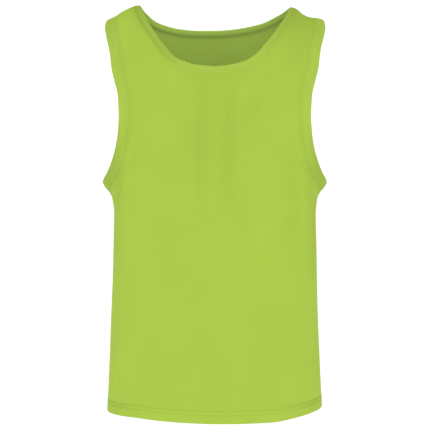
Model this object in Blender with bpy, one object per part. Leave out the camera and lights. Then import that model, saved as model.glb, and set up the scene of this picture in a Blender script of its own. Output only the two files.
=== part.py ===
"""A sleeveless mesh training bib, hollow as it is worn. Metres, +Z up, the front faces -Y.

The origin lies on the centre line, at the height where the straps rest on the shoulders.
The cloth follows one smooth form: level rings from the hem to the underarm, and arches from
there over the shoulders. Front, back, neck band and armhole bands are cut from that form along
their seams, and each is a closed wall of its own. A place on the form is a pair (turn, rise):
turn goes round the body from the front centre towards the wearer's left, and rise goes up from
the underarm, to SHOULDER_RISE at the shoulder seam.
"""

from collections import namedtuple

import bmesh
import bpy
import numpy as np

# Driving dimensions.
HEM_HEIGHT = -0.672
UNDERARM_HEIGHT = -0.281
FRONT_NECK_HEIGHT = -0.089
BACK_NECK_HEIGHT = -0.0238
SHOULDER_RISE = 0.300
NECK_HALF_WIDTH = 0.1245  # where the neck edge crosses the shoulder seam
SHOULDER_HALF_WIDTH = 0.1825  # where the armhole edge crosses the shoulder seam
FRONT_NECK_SHIFT = -0.003  # the neck dips a little to the wearer's right
BACK_NECK_SHIFT = -0.013

CLOTH_WALL = 0.0012
NECK_BAND_WIDTH = 0.0120
ARMHOLE_BAND_WIDTH = 0.0185
SEAM_GAP = 0.0004  # between any two pieces

LIME = (0.418, 0.591, 0.072, 1.0)
BAND_LIME = (0.440, 0.610, 0.082, 1.0)
CLOTH_ROUGHNESS = 0.85

# Level rings of the form. A fullness of 0 is an ellipse, more is boxier and less is pointed.
Ring = namedtuple("Ring", "height half_width shift front_depth back_depth fullness")
RINGS = (
    Ring(-0.700, 0.1822, -0.0012, 0.1220, 0.1140, 0.10),
    Ring(-0.560, 0.1767, -0.0010, 0.1175, 0.1110, 0.14),
    Ring(-0.440, 0.1724, -0.0002, 0.1145, 0.1080, 0.18),
    Ring(-0.335, 0.1700, 0.0000, 0.1150, 0.1060, 0.20),
    Ring(-0.308, 0.1730, -0.0004, 0.1150, 0.1060, 0.16),
    Ring(-0.298, 0.1775, -0.0005, 0.1148, 0.1060, 0.11),
    Ring(-0.288, 0.1846, -0.0005, 0.1146, 0.1060, 0.045),
    Ring(-0.280, 0.1885, -0.0005, 0.1144, 0.1062, 0.01),
    Ring(-0.240, 0.1960, -0.0005, 0.1140, 0.1080, -0.06),
    Ring(-0.150, 0.2040, -0.0003, 0.1130, 0.1140, 0.04),
    Ring(-0.050, 0.2080, 0.0000, 0.1120, 0.1240, 0.12),
    Ring(0.030, 0.2120, 0.0000, 0.1120, 0.1300, 0.16),
)

# The shoulder line from the centre out. The two shoulders sit a little differently.
Shoulder = namedtuple("Shoulder", "half_width right_height left_height")
SHOULDER_LINE = (
    Shoulder(0.000, 0.0130, 0.0130),
    Shoulder(0.060, 0.0134, 0.0126),
    Shoulder(0.105, 0.0145, 0.0120),
    Shoulder(0.127, 0.0144, 0.0112),
    Shoulder(0.136, 0.0133, 0.0092),
    Shoulder(0.147, 0.0088, 0.0003),
    Shoulder(0.157, 0.0039, -0.0044),
    Shoulder(0.167, -0.0032, -0.0063),
    Shoulder(0.177, -0.0082, -0.0087),
    Shoulder(0.186, -0.0140, -0.0132),
    Shoulder(0.215, -0.0500, -0.0500),
)

# Half of each neck edge from the centre out. climb is 0 at its lowest point and 1 at the shoulder.
Neck = namedtuple("Neck", "half_width climb")
FRONT_NECK = (
    Neck(0.000, 0.000),
    Neck(0.028, 0.022),
    Neck(0.052, 0.090),
    Neck(0.0675, 0.185),
    Neck(0.084, 0.365),
    Neck(0.099, 0.560),
    Neck(0.1125, 0.765),
    Neck(0.120, 0.895),
    Neck(NECK_HALF_WIDTH, 1.000),
)
BACK_NECK = (
    Neck(0.000, 0.000),
    Neck(0.036, 0.044),
    Neck(0.062, 0.140),
    Neck(0.082, 0.279),
    Neck(0.097, 0.451),
    Neck(0.108, 0.635),
    Neck(0.117, 0.806),
    Neck(NECK_HALF_WIDTH, 1.000),
)

# The armhole edge from the underarm up to the shoulder, alike on front and back.
Armhole = namedtuple("Armhole", "height half_width")
ARMHOLE = (
    Armhole(UNDERARM_HEIGHT, 0.1884),
    Armhole(-0.2740, 0.1850),
    Armhole(-0.2640, 0.1795),
    Armhole(-0.2450, 0.1710),
    Armhole(-0.2166, 0.1630),
    Armhole(-0.1740, 0.1585),
    Armhole(-0.1360, 0.1605),
    Armhole(-0.0960, 0.1705),
    Armhole(-0.0590, 0.1758),
    Armhole(-0.0360, 0.1820),
    Armhole(-0.0210, 0.1840),
    Armhole(-0.0105, SHOULDER_HALF_WIDTH),
)

# The hem's lift from the wearer's right to their left, over its lowest point.
Hem = namedtuple("Hem", "side_share lift")
HEM_LINE = (
    Hem(-1.00, 0.0052),
    Hem(-0.75, 0.0056),
    Hem(-0.50, 0.0035),
    Hem(-0.22, 0.0014),
    Hem(0.05, 0.0000),
    Hem(0.50, 0.0005),
    Hem(0.75, 0.0050),
    Hem(1.00, 0.0122),
)

# Soft folds of the hanging cloth, each from one (x, z) to another. Depth under 0 is a trough.
Fold = namedtuple("Fold", "from_x from_z to_x to_z half_breadth depth")
FRONT_FOLDS = (
    Fold(0.002, -0.060, 0.004, -0.345, 0.050, -0.0018),  # hollow of the chest
    Fold(-0.148, -0.200, -0.150, -0.450, 0.009, 0.0020),  # beside the right side seam
    Fold(0.150, -0.230, 0.153, -0.490, 0.009, 0.0020),  # beside the left side seam
    Fold(0.132, -0.225, 0.134, -0.370, 0.012, -0.0016),
    Fold(-0.025, -0.095, -0.024, -0.345, 0.011, -0.0022),  # centre of the chest
    Fold(0.021, -0.095, 0.022, -0.330, 0.011, -0.0022),
    Fold(-0.112, -0.085, -0.018, -0.215, 0.014, -0.0016),  # pull from the right strap
    Fold(0.108, -0.080, 0.028, -0.200, 0.014, -0.0018),  # pull from the left strap
    Fold(-0.176, -0.276, -0.118, -0.226, 0.012, -0.0022),  # tuck at the right underarm
    Fold(0.176, -0.276, 0.120, -0.230, 0.012, -0.0024),  # tuck at the left underarm
    Fold(-0.112, -0.440, -0.122, -0.640, 0.026, -0.0014),
    Fold(0.088, -0.470, 0.098, -0.655, 0.028, -0.0014),
)
BACK_FOLDS = (
    Fold(-0.134, -0.230, -0.144, -0.500, 0.014, -0.0032),
    Fold(-0.108, -0.260, -0.116, -0.580, 0.017, 0.0030),
    Fold(0.136, -0.240, 0.141, -0.520, 0.014, -0.0030),
    Fold(0.109, -0.290, 0.114, -0.620, 0.018, 0.0028),
    Fold(-0.105, -0.070, -0.040, -0.210, 0.016, -0.0026),
    Fold(0.102, -0.075, 0.034, -0.225, 0.016, -0.0028),
    Fold(-0.050, -0.330, -0.056, -0.665, 0.024, -0.0040),
    Fold(0.012, -0.380, 0.018, -0.665, 0.028, 0.0038),
    Fold(0.070, -0.340, 0.078, -0.665, 0.024, -0.0038),
    Fold(-0.176, -0.276, -0.116, -0.232, 0.012, -0.0028),
    Fold(0.176, -0.276, 0.118, -0.236, 0.012, -0.0026),
)

# Sections of the walls, as heights of both faces over the form. A band's go from edge to seam.
Line = namedtuple("Line", "place outer inner")
BAND_SECTION = (
    Line(0.00, -0.0002, -0.0014),
    Line(0.10, 0.0005, -0.0019),
    Line(0.88, 0.0006, -0.0019),
    Line(1.00, 0.0000, -0.0013),
)
HEM_SECTION = (
    Line(0.0000, -0.0003, -0.0016),
    Line(0.0015, 0.0003, -0.0021),
    Line(0.0180, 0.0003, -0.0021),
    Line(0.0205, -0.0002, -0.0019),
    Line(0.0235, 0.0000, -CLOTH_WALL),
)

# How finely the walls are divided.
NECK_STEPS = 8  # along half a neck edge, below the straps
STRAP_STEPS = 9  # along a strap
STRAP_COLUMNS = 7  # across a strap
CHEST_STEPS = 11  # along the armhole, below the strap
UNDERARM_DROPS = (0.007, 0.016, 0.028)  # rows below the armhole seam
BODY_ROWS = 8  # from there to the hem
FINE_STEPS = 400
BODY_RADIUS = 0.14  # turns times this are about as long as rises
RELAXING_ROUNDS = 400

SHARP_ANGLE = np.radians(50)  # edges of the walls stay crisp from here on
QUARTER = np.pi / 2
RIGHT, LEFT = -1, 1  # the wearer's sides, along X


def column(table, name):
    return np.array([getattr(row, name) for row in table])


def curve_of(xs, ys):
    """A smooth function through the rows of a table, which never swings past them."""
    widths = np.diff(xs)
    steps = np.diff(ys) / widths
    before, after = steps[:-1], steps[1:]
    both = before + after
    inner = np.where(before * after > 0, 2 * before * after / np.where(both == 0, 1, both), 0)
    slopes = np.concatenate([steps[:1], inner, steps[-1:]])

    def value(x):
        x = np.clip(x, xs[0], xs[-1])
        i = np.clip(np.searchsorted(xs, x) - 1, 0, len(steps) - 1)
        t = (x - xs[i]) / widths[i]
        rest = 1 - t
        ends = ys[i] * (1 + 2 * t) * rest**2 + ys[i + 1] * (3 - 2 * t) * t**2
        return ends + widths[i] * t * rest * (slopes[i] * rest - slopes[i + 1] * t)

    return value


def curve_through(table, name, by):
    return curve_of(column(table, by), column(table, name))


half_width = curve_through(RINGS, "half_width", "height")
shift = curve_through(RINGS, "shift", "height")
front_depth = curve_through(RINGS, "front_depth", "height")
back_depth = curve_through(RINGS, "back_depth", "height")
fullness = curve_through(RINGS, "fullness", "height")
right_shoulder = curve_through(SHOULDER_LINE, "right_height", "half_width")
left_shoulder = curve_through(SHOULDER_LINE, "left_height", "half_width")
armhole_width = curve_through(ARMHOLE, "half_width", "height")
hem_lift = curve_through(HEM_LINE, "lift", "side_share")


def shoulder_height(x):
    return np.where(x > 0, left_shoulder(np.abs(x)), right_shoulder(np.abs(x)))


def smooth_form(turn, rise):
    """The form without its folds. Past the shoulder seam, rise comes down the other side."""
    over = rise > SHOULDER_RISE
    turn = np.where(over, np.pi - turn, turn)
    rise = np.where(over, 2 * SHOULDER_RISE - rise, rise)
    side, ahead = np.sin(turn), np.cos(turn)
    lean = np.maximum(rise, 0) / SHOULDER_RISE * QUARTER
    height = UNDERARM_HEIGHT + np.minimum(rise, 0)
    for _ in range(4):
        top = shoulder_height(half_width(height) * side + shift(height))
        climbed = UNDERARM_HEIGHT + (top - UNDERARM_HEIGHT) * np.sin(lean)
        height = np.where(rise > 0, climbed, height)
    depth = np.where(ahead > 0, front_depth(height), back_depth(height))
    depth = depth * (1 + fullness(height) * side**2) * np.cos(lean)
    return np.stack([half_width(height) * side + shift(height), -depth * ahead, height], axis=-1)


def place_of(x, z, is_back):
    """The (turn, rise) that shows at (x, z) on the front or on the back."""
    turn = np.arcsin(np.clip((x - shift(z)) / half_width(z), -1, 1))
    share = (z - UNDERARM_HEIGHT) / (shoulder_height(x) - UNDERARM_HEIGHT)
    lean = np.arcsin(np.clip(share, 0, 1))
    rise = np.where(share > 0, lean / QUARTER * SHOULDER_RISE, z - UNDERARM_HEIGHT)
    return np.stack([np.pi - turn if is_back else turn, rise], axis=-1)


def slopes_of(place):
    """How the form moves for a change of turn and of rise."""
    turn, rise = place[..., 0], place[..., 1]
    turn_step, rise_step = 0.020, 0.003
    by_turn = smooth_form(turn + turn_step, rise) - smooth_form(turn - turn_step, rise)
    by_rise = smooth_form(turn, rise + rise_step) - smooth_form(turn, rise - rise_step)
    return by_turn / (2 * turn_step), by_rise / (2 * rise_step)


def unit(vectors):
    return vectors / np.linalg.norm(vectors, axis=-1, keepdims=True)


def fold_height(points, folds):
    """How far the folds raise the cloth at points of the form."""
    total = np.zeros(points.shape[:-1])
    for fold in folds:
        run_x, run_z = fold.to_x - fold.from_x, fold.to_z - fold.from_z
        off_x, off_z = points[..., 0] - fold.from_x, points[..., 2] - fold.from_z
        length = np.hypot(run_x, run_z)
        share = np.clip((off_x * run_x + off_z * run_z) / length**2, 0, 1)
        across = (off_x * run_z - off_z * run_x) / length / fold.half_breadth
        total += fold.depth * np.exp(-(across**2)) * np.sin(np.pi * share)
    return total


def cloth(place, lift):
    """Points of the cloth at a height over the form, on which the folds ride."""
    points = smooth_form(place[..., 0], place[..., 1])
    by_turn, by_rise = slopes_of(place)
    front = fold_height(points, FRONT_FOLDS)
    back = fold_height(points, BACK_FOLDS)
    raised = np.where(points[..., 1] < 0, front, back) + lift
    return points + unit(np.cross(by_turn, by_rise)) * raised[..., None]


def evenly(path, count):
    """Places at even distances along a path of places, its ends among them."""
    points = smooth_form(path[:, 0], path[:, 1])
    lengths = np.concatenate([[0], np.cumsum(np.linalg.norm(np.diff(points, axis=0), axis=1))])
    wanted = np.linspace(0, lengths[-1], count + 1)
    return np.stack([np.interp(wanted, lengths, path[:, k]) for k in (0, 1)], axis=-1)


def neck_edge(is_back, side):
    """Half of a neck edge, from its lowest point up to the shoulder seam."""
    table = BACK_NECK if is_back else FRONT_NECK
    bottom = BACK_NECK_HEIGHT if is_back else FRONT_NECK_HEIGHT
    aside = BACK_NECK_SHIFT if is_back else FRONT_NECK_SHIFT
    out = NECK_HALF_WIDTH * np.sin(np.linspace(0, QUARTER, FINE_STEPS))
    climb = curve_through(table, "climb", "half_width")(out)
    top = shoulder_height(side * NECK_HALF_WIDTH)
    path = place_of(side * out + aside * (1 - climb), bottom + (top - bottom) * climb, is_back)
    path[-1, 1] = SHOULDER_RISE
    return evenly(path, NECK_STEPS + STRAP_STEPS)


def armhole_edge(is_back, side):
    """Half of an armhole edge, from the underarm up to the shoulder seam."""
    top = shoulder_height(side * SHOULDER_HALF_WIDTH)
    share = np.sin(np.linspace(0, QUARTER, FINE_STEPS))
    height = UNDERARM_HEIGHT + (top - UNDERARM_HEIGHT) * share
    path = place_of(side * armhole_width(height) + shift(height), height, is_back)
    path[0] = (np.pi - side * QUARTER if is_back else side * QUARTER, 0)
    path[-1, 1] = SHOULDER_RISE
    return evenly(path, CHEST_STEPS + STRAP_STEPS)


def closed_loop(halves):
    """Joins paths end to end into a ring, without the place that two of them share."""
    return np.concatenate([half[:-1] for half in halves])


def neck_loop():
    """Round the neck from the front centre by way of the wearer's left."""
    quarters = [neck_edge(False, LEFT), neck_edge(True, LEFT)[::-1]]
    quarters += [neck_edge(True, RIGHT), neck_edge(False, RIGHT)[::-1]]
    return closed_loop(quarters)


def armhole_loop(side):
    """Round an armhole from the underarm, up the front and down the back."""
    return closed_loop([armhole_edge(False, side), armhole_edge(True, side)[::-1]])


def moved(loop, distance, centre):
    """A loop of places moved within the cloth, away from the middle of its opening."""
    steps = 4
    for _ in range(steps):
        points = smooth_form(loop[:, 0], loop[:, 1])
        by_turn, by_rise = slopes_of(loop)
        tangent = unit(np.roll(points, -1, axis=0) - np.roll(points, 1, axis=0))
        away = unit(np.cross(unit(np.cross(by_turn, by_rise)), tangent))
        away *= np.sign(np.sum(away * (points - centre), axis=1))[:, None]
        wanted = away * distance / steps
        tt, rr = np.sum(by_turn**2, axis=1), np.sum(by_rise**2, axis=1)
        tr = np.sum(by_turn * by_rise, axis=1)
        wt, wr = np.sum(wanted * by_turn, axis=1), np.sum(wanted * by_rise, axis=1)
        change = np.stack([wt * rr - wr * tr, wr * tt - wt * tr], axis=-1)
        change /= (tt * rr - tr**2)[:, None]
        on_ridge = np.isclose(loop[:, 1], SHOULDER_RISE)
        on_side = np.isclose(np.cos(loop[:, 0]), 0, atol=1e-7)
        change[on_ridge] = np.stack([wt / tt, 0 * wt], axis=-1)[on_ridge]
        change[on_side] = np.stack([0 * wr, wr / rr], axis=-1)[on_side]
        loop = loop + change
    return loop


# Points well inside the openings. A seam lies further from them than its edge does.
NECK_CENTRE = np.array([0, 0, 0])
ARMHOLE_CENTRE = {side: np.array([side * 0.25, 0, -0.15]) for side in (RIGHT, LEFT)}


def stations(loop, start, step, count):
    """A stretch of a loop, with turns counted from the middle of the panel it borders."""
    found = loop[(start + step * np.arange(count + 1)) % len(loop)].copy()
    found[:, 0] = np.arcsin(np.sin(found[:, 0]))
    return found


def facing(places, is_back):
    """Places counted from the middle of a panel, as places of the form."""
    turn = np.pi - places[..., 0] if is_back else places[..., 0]
    return np.stack([turn, places[..., 1]], axis=-1)


def drawn_back(places, axis, is_back):
    """Places moved half a seam gap down (axis 1) or towards the panel's middle (axis 0)."""
    speed = np.linalg.norm(slopes_of(facing(places, is_back))[axis], axis=-1)
    change = SEAM_GAP / 2 / speed
    places = places.copy()
    places[..., axis] -= change if axis else change * np.sign(places[..., 0])
    return places


def panel_side(side, is_back):
    """A panel's side from the hem's top row up the side seam and along the armhole."""
    seam = moved(armhole_loop(side), ARMHOLE_BAND_WIDTH + SEAM_GAP, ARMHOLE_CENTRE[side])
    armhole = stations(seam, 0, -1 if is_back else 1, CHEST_STEPS + STRAP_STEPS)
    top = armhole[0, 1]
    lowest = hem_rise(side) + HEM_SECTION[-1].place
    rises = np.linspace(lowest, top - UNDERARM_DROPS[-1], BODY_ROWS + 1)
    rises = np.concatenate([rises, top - np.array(UNDERARM_DROPS[-2::-1])])
    seam_places = np.stack([np.full_like(rises, side * QUARTER), rises], axis=-1)
    seam_places = drawn_back(seam_places, 0, is_back)
    armhole[:1] = drawn_back(armhole[:1], 0, is_back)
    armhole[-1:] = drawn_back(armhole[-1:], 1, is_back)
    return np.concatenate([seam_places, armhole])


def hem_rise(side_share):
    """The hem edge's rise, where side_share is -1 and 1 at the wearer's right and left."""
    return HEM_HEIGHT + hem_lift(side_share) - UNDERARM_HEIGHT


def panel_neck(side, is_back):
    """Half of a panel's neck seam, from its middle up to the shoulder seam."""
    seam = moved(neck_loop(), NECK_BAND_WIDTH + SEAM_GAP, NECK_CENTRE)
    half = NECK_STEPS + STRAP_STEPS
    start, step = (2 * half, -side) if is_back else (0, side)
    found = stations(seam, start, step, half)
    found[-1:] = drawn_back(found[-1:], 1, is_back)
    return found


def between(first, last, share):
    return first + (last - first) * np.asarray(share)[..., None]


def relaxed(places):
    """A grid of places whose inner lines are evened, so that they bend round curved edges."""
    flat = places * (BODY_RADIUS, 1)
    for _ in range(RELAXING_ROUNDS):
        along = (flat[1:-1, 2:] - flat[1:-1, :-2]) / 2
        up = (flat[2:, 1:-1] - flat[:-2, 1:-1]) / 2
        twist = (flat[2:, 2:] - flat[2:, :-2] - flat[:-2, 2:] + flat[:-2, :-2]) / 4
        a = np.sum(up**2, axis=-1, keepdims=True)
        b = np.sum(along * up, axis=-1, keepdims=True)
        c = np.sum(along**2, axis=-1, keepdims=True)
        beside = flat[1:-1, 2:] + flat[1:-1, :-2]
        over = flat[2:, 1:-1] + flat[:-2, 1:-1]
        flat[1:-1, 1:-1] = (a * beside + c * over - 2 * b * twist) / (2 * (a + c))
    return flat / (BODY_RADIUS, 1)


def panel_grid(is_back):
    """Rows of places from the hem up, each from the wearer's right, and where the straps begin."""
    sides = {side: panel_side(side, is_back) for side in (RIGHT, LEFT)}
    necks = {side: panel_neck(side, is_back) for side in (RIGHT, LEFT)}
    straps = {
        side: between(
            sides[side][-STRAP_STEPS - 1 :, None],
            necks[side][NECK_STEPS:, None],
            np.linspace(0, 1, STRAP_COLUMNS + 1),
        )
        for side in (RIGHT, LEFT)
    }
    below_neck = [necks[RIGHT][NECK_STEPS - 1 :: -1], necks[LEFT][1:NECK_STEPS]]
    top = np.concatenate([straps[RIGHT][0], *below_neck, straps[LEFT][0][::-1]])
    right, left = (sides[side][: -STRAP_STEPS] for side in (RIGHT, LEFT))
    across = np.linspace(0, 1, len(top))[None, :]
    up = (right[:, 1] + left[:, 1]) / 2
    up = ((up - up[0]) / (up[-1] - up[0]))[:, None]
    bottom = between(right[0], left[0], across[0])
    bottom[:, 1] = hem_rise(np.sin(bottom[:, 0])) + HEM_SECTION[-1].place
    body = between(bottom[None], top[None], up)
    body += between(right[:, None], left[:, None], across)
    corners = between(bottom[:1], bottom[-1:], across), between(top[:1], top[-1:], across)
    body = relaxed(body - between(corners[0], corners[1], up))
    hem = np.repeat(bottom[None], len(HEM_SECTION) - 1, axis=0)
    hem[..., 1] -= HEM_SECTION[-1].place - column(HEM_SECTION, "place")[:-1, None]
    spare = np.zeros((STRAP_STEPS, len(top) - 2 * (STRAP_COLUMNS + 1), 2))
    upper = np.concatenate([straps[RIGHT][1:], spare, straps[LEFT][1:, ::-1]], axis=1)
    return facing(np.concatenate([hem, body, upper]), is_back), len(hem) + len(body) - 1


def closed_wall(name, outer, inner, cells, material):
    """An object whose outer and inner faces share cells and are joined round every open edge."""
    mesh = bmesh.new()
    count = len(outer)
    corners = [mesh.verts.new(point) for point in (*outer, *inner)]
    mesh.verts.index_update()
    for cell in cells:
        mesh.faces.new([corners[i] for i in cell])
    for edge in [edge for edge in mesh.edges if edge.is_boundary]:
        a, b = edge.verts
        mesh.faces.new([a, b, corners[b.index + count], corners[a.index + count]])
    for cell in cells:
        mesh.faces.new([corners[i + count] for i in reversed(cell)])
    unused = [corner for corner in mesh.verts if not corner.link_faces]
    bmesh.ops.delete(mesh, geom=unused, context="VERTS")
    bmesh.ops.recalc_face_normals(mesh, faces=mesh.faces)
    data = bpy.data.meshes.new(name)
    mesh.to_mesh(data)
    mesh.free()
    data.materials.append(material)
    data.shade_smooth()
    data.set_sharp_from_angle(angle=SHARP_ANGLE)
    return bpy.data.objects.new(name, data)


def panel(name, is_back, material):
    places, strap_row = panel_grid(is_back)
    rows, columns = places.shape[:2]
    lifts = np.full((rows, 2), (0, -CLOTH_WALL))
    lifts[: len(HEM_SECTION), 0] = column(HEM_SECTION, "outer")
    lifts[: len(HEM_SECTION), 1] = column(HEM_SECTION, "inner")
    outer, inner = (cloth(places, lifts[:, None, face]) for face in (0, 1))
    cells = []
    for row in range(rows - 1):
        for i in range(columns - 1):
            on_strap = i < STRAP_COLUMNS or i >= columns - 1 - STRAP_COLUMNS
            if row < strap_row or on_strap:
                corner = row * columns + i
                cells.append((corner, corner + 1, corner + columns + 1, corner + columns))
    return closed_wall(name, outer.reshape(-1, 3), inner.reshape(-1, 3), cells, material)


def band(name, loop, width, centre, material):
    """A ring of turned cloth from the edge at loop to its seam."""
    count = len(loop)
    lines = [moved(loop, width * line.place, centre) for line in BAND_SECTION]
    outer, inner = (
        np.concatenate([cloth(line, getattr(row, face)) for line, row in zip(lines, BAND_SECTION)])
        for face in ("outer", "inner")
    )
    cells = []
    for row in range(len(BAND_SECTION) - 1):
        for i in range(count):
            a, b = row * count + i, row * count + (i + 1) % count
            cells.append((a, b, b + count, a + count))
    return closed_wall(name, outer, inner, cells, material)


def cloth_material(name, colour):
    material = bpy.data.materials.new(name)
    material.use_nodes = True
    material.diffuse_color = colour
    shader = material.node_tree.nodes["Principled BSDF"]
    shader.inputs["Base Color"].default_value = colour
    shader.inputs["Roughness"].default_value = CLOTH_ROUGHNESS
    shader.inputs["Metallic"].default_value = 0.0
    return material


def armhole_band(name, side):
    material = cloth_material(f"{name}_cloth", BAND_LIME)
    return band(name, armhole_loop(side), ARMHOLE_BAND_WIDTH, ARMHOLE_CENTRE[side], material)


def main():
    for obj in list(bpy.data.objects):
        bpy.data.objects.remove(obj)
    bib = bpy.data.collections.new("Mesh training bib")
    bpy.context.scene.collection.children.link(bib)
    pieces = [
        panel("front_panel", False, cloth_material("front_cloth", LIME)),
        panel("back_panel", True, cloth_material("back_cloth", LIME)),
        band(
            "neck_band",
            neck_loop(),
            NECK_BAND_WIDTH,
            NECK_CENTRE,
            cloth_material("neck_band_cloth", BAND_LIME),
        ),
        armhole_band("right_armhole_band", RIGHT),
        armhole_band("left_armhole_band", LEFT),
    ]
    for piece in pieces:
        bib.objects.link(piece)


main()
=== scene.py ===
"""A sleeveless mesh training bib as it hangs when worn, with its studio.

The cloth follows one smooth form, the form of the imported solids: level rings from the hem to the
underarm, and arches from there over the shoulders. A place on it is a pair (turn, rise): turn goes
round the body from the front centre towards the wearer's left, and rise goes up from the underarm,
to SHOULDER_RISE at the shoulder seam. Every piece is a thin closed shell on that form.
"""

from collections import namedtuple
from functools import partial

import bpy
import numpy as np
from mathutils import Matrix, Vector, kdtree


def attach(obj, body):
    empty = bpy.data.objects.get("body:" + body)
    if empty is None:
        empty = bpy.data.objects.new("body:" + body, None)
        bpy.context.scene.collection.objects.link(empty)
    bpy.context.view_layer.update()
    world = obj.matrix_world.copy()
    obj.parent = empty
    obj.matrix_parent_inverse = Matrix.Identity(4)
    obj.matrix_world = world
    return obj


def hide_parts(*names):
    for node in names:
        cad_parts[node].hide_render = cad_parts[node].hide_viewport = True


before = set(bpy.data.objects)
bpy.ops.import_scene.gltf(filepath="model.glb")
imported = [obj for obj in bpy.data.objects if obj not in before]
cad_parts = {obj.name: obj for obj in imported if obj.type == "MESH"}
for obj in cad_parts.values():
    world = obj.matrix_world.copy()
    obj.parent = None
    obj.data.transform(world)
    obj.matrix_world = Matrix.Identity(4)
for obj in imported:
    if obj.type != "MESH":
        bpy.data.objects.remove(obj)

bl_info = {
    "name": "Mesh Training Bib",
    "version": (1, 0, 0),
    "blender": (4, 5, 0),
    "location": "3D Viewport > Sidebar > Bib",
    "description": "Sews a hollow mesh training bib and sets its studio",
    "category": "Add Mesh",
}

# The form, in metres.
HEM_HEIGHT = -0.672
UNDERARM_HEIGHT = -0.281
SHOULDER_RISE = 0.300
NECK_HALF_WIDTH = 0.1245
SHOULDER_HALF_WIDTH = 0.1825
NECK_BINDING_WIDTH = 0.0120
ARMHOLE_BINDING_WIDTH = 0.0185
SEAM_GAP = 0.00004

# Height, half width, shift, front depth, back depth and fullness of each level ring.
RINGS = (
    (-0.7, 0.1822, -0.0012, 0.122, 0.114, 0.1), (-0.56, 0.1767, -0.001, 0.1175, 0.111, 0.14),
    (-0.44, 0.1724, -0.0002, 0.1145, 0.108, 0.18), (-0.335, 0.17, 0, 0.115, 0.106, 0.2),
    (-0.308, 0.173, -0.0004, 0.115, 0.106, 0.16), (-0.298, 0.1775, -0.0005, 0.1148, 0.106, 0.11),
    (-0.288, 0.1846, -0.0005, 0.1146, 0.106, 0.045),
    (-0.28, 0.1885, -0.0005, 0.1144, 0.1062, 0.01), (-0.24, 0.196, -0.0005, 0.114, 0.108, -0.06),
    (-0.15, 0.204, -0.0003, 0.113, 0.114, 0.04), (-0.05, 0.208, 0, 0.112, 0.124, 0.12),
    (0.03, 0.212, 0, 0.112, 0.13, 0.16),
)

# Half width, and the shoulders' height there at the wearer's right and left.
SHOULDER_LINE = (
    (0, 0.013, 0.013), (0.06, 0.0134, 0.0126), (0.105, 0.0145, 0.012), (0.127, 0.0144, 0.0112),
    (0.136, 0.0133, 0.0092), (0.147, 0.0088, 0.0003), (0.157, 0.0039, -0.0044),
    (0.167, -0.0032, -0.0063), (0.177, -0.0082, -0.0087), (0.186, -0.014, -0.0132),
    (0.215, -0.05, -0.05),
)

# Half of each neck edge from the centre out, as half width and climb, which goes from 0 at the
# lowest point, at height and shift, to 1 at the shoulder.
Neck = namedtuple("Neck", "height shift line")
FRONT_NECK = Neck(
    -0.089,
    -0.003,
    (
        (0, 0), (0.028, 0.022), (0.052, 0.09), (0.0675, 0.185), (0.084, 0.365), (0.099, 0.56),
        (0.1125, 0.765), (0.12, 0.895), (NECK_HALF_WIDTH, 1),
    ),
)
BACK_NECK = Neck(
    -0.0238,
    -0.013,
    (
        (0, 0), (0.036, 0.044), (0.062, 0.14), (0.082, 0.279), (0.097, 0.451), (0.108, 0.635),
        (0.117, 0.806), (NECK_HALF_WIDTH, 1),
    ),
)

# Height and half width of the armholes' edges.
ARMHOLE = (
    (UNDERARM_HEIGHT, 0.1884), (-0.274, 0.185), (-0.264, 0.1795), (-0.245, 0.171),
    (-0.2166, 0.163), (-0.174, 0.1585), (-0.136, 0.1605), (-0.096, 0.1705), (-0.059, 0.1758),
    (-0.036, 0.182), (-0.021, 0.184), (-0.0105, SHOULDER_HALF_WIDTH),
)

# How far the hem's edge is lifted, from the right side, -1, to the left side, 1.
HEM_LINE = (
    (-1, 0.0052), (-0.75, 0.0056), (-0.5, 0.0035), (-0.22, 0.0014), (0.05, 0), (0.5, 0.0005),
    (0.75, 0.005), (1, 0.0122),
)

# Soft folds and then finer creases in millimetres: x and z of where each starts and ends, its
# half breadth and its height. A height under 0 is a trough.
FRONT_FOLDS = (
    (2, -60, 4, -345, 50, -1.8), (-148, -200, -150, -450, 9, 2), (150, -230, 153, -490, 9, 2),
    (132, -225, 134, -370, 12, -1.6), (-25, -95, -24, -345, 11, -2.2),
    (21, -95, 22, -330, 11, -2.2), (-112, -85, -18, -215, 14, -1.6),
    (108, -80, 28, -200, 14, -1.8), (-176, -276, -118, -226, 12, -2.2),
    (176, -276, 120, -230, 12, -2.4), (-112, -440, -122, -640, 26, -1.4),
    (88, -470, 98, -655, 28, -1.4),
    (-168, -262, -128, -232, 5, -0.9), (-160, -300, -112, -268, 6, -0.7),
    (166, -258, 124, -224, 5, -1), (160, -302, 116, -262, 6.5, -0.7),
    (-138, -50, -112, -130, 6, -0.6), (140, -46, 110, -118, 6, -0.8),
    (-62, -560, 34, -568, 4, -0.4), (20, -602, 128, -592, 4.5, -0.4),
    (-124, -622, -20, -630, 4, -0.3), (52, -300, 58, -400, 8, -0.5),
    (-70, -330, -78, -420, 9, -0.5), (2, -420, -4, -560, 11, 0.6),
)
BACK_FOLDS = (
    (-134, -230, -144, -500, 14, -3.2), (-108, -260, -116, -580, 17, 3),
    (136, -240, 141, -520, 14, -3), (109, -290, 114, -620, 18, 2.8),
    (-105, -70, -40, -210, 16, -2.6), (102, -75, 34, -225, 16, -2.8),
    (-50, -330, -56, -665, 24, -4), (12, -380, 18, -665, 28, 3.8),
    (70, -340, 78, -665, 24, -3.8), (-176, -276, -116, -232, 12, -2.8),
    (176, -276, 118, -236, 12, -2.6),
    (-166, -264, -124, -238, 5, -1), (168, -262, 126, -230, 5, -0.9),
    (-158, -304, -116, -276, 6, -0.8), (160, -300, 112, -272, 6, -0.8),
    (-36, -60, 28, -64, 6, -0.6), (-20, -150, -28, -290, 11, -1), (40, -160, 52, -300, 11, -0.9),
    (-92, -560, 4, -556, 4.5, -0.5), (30, -604, 116, -612, 4.5, -0.4),
)

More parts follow.
